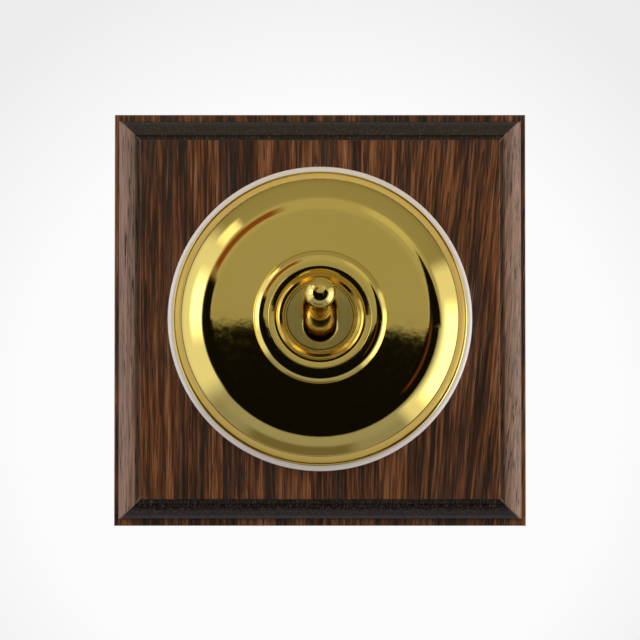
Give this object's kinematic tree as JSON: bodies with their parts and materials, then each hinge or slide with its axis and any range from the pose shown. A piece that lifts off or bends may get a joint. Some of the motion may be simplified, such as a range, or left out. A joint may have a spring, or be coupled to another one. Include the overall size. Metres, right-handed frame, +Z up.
{
  "type": "dolly light switch",
  "caption": "Round brass dolly light switch with a ball lever, on a white china base and a square moulded dark oak plinth, over a change-over rocker mechanism.",
  "frame": {"origin": "middle of the plinth's back face, on the wall, midway between the two fixing screws", "axes": "+X to the right, +Z up the wall, +Y into the wall, so the switch faces -Y"},
  "size_m": [0.095, 0.0674, 0.095],
  "materials": {
    "dark_oak": "satin lacquer over dark stain, upright grain",
    "white_china": "gloss glaze",
    "polished_brass": "polished and lacquered",
    "brushed_brass": "brushed face",
    "plain_brass": "as turned or stamped",
    "spring_steel": "bright",
    "zinc_steel": "zinc plated",
    "silver": "satin",
    "bronze": "satin phosphor bronze",
    "red_fibre": "matt",
    "black_nylon": "matt",
    "brown_moulding": "moulded, half gloss"
  },
  "bodies": {
    "housing": {"oak_plinth": "dark_oak", "china_base": "white_china", "brass_dome": "polished_brass", "ring_nut": "polished_brass", "bush": "brushed_brass", "dolly_pin": "spring_steel", "fibre_washer": "red_fibre", "yoke": "plain_brass", "mechanism_screws": "plain_brass", "mechanism_nuts": "plain_brass", "earth_washer": "plain_brass", "earth_screw": "plain_brass", "base_screws": "plain_brass", "wall_screws": "zinc_steel", "body_screws": "zinc_steel", "terminal_screws": "plain_brass", "terminal_common": "plain_brass", "terminal_way_one": "plain_brass", "terminal_way_two": "plain_brass", "fixed_contacts": "silver", "switch_body": "brown_moulding", "body_cover": "brown_moulding"},
    "dolly": {"dolly": "polished_brass", "plunger_spring": "spring_steel"},
    "plunger": {"plunger": "black_nylon"},
    "rocker": {"rocker": "bronze", "rocker_contacts": "silver"}
  },
  "joints": [
    {"name": "dolly_tilt", "type": "hinge", "parent": "housing", "child": "dolly", "pos_m": [0, -0.03503, 0], "axis": [1, 0, 0], "range_deg": [0, 36]},
    {"name": "plunger_slide", "type": "slide", "parent": "dolly", "child": "plunger", "axis": [0, -0.9511, 0.309], "range_m": [0, 0.0007], "stiffness_N_per_m": 500, "deforming": ["plunger_spring"]},
    {"name": "rocker_tilt", "type": "hinge", "parent": "housing", "child": "rocker", "pos_m": [0, -0.01753, 0], "axis": [1, 0, 0], "range_deg": [-24, 0]}
  ],
  "couplings": [
    {"joint": "rocker_tilt", "follows": "dolly_tilt", "ratio": -0.6666}
  ]
}
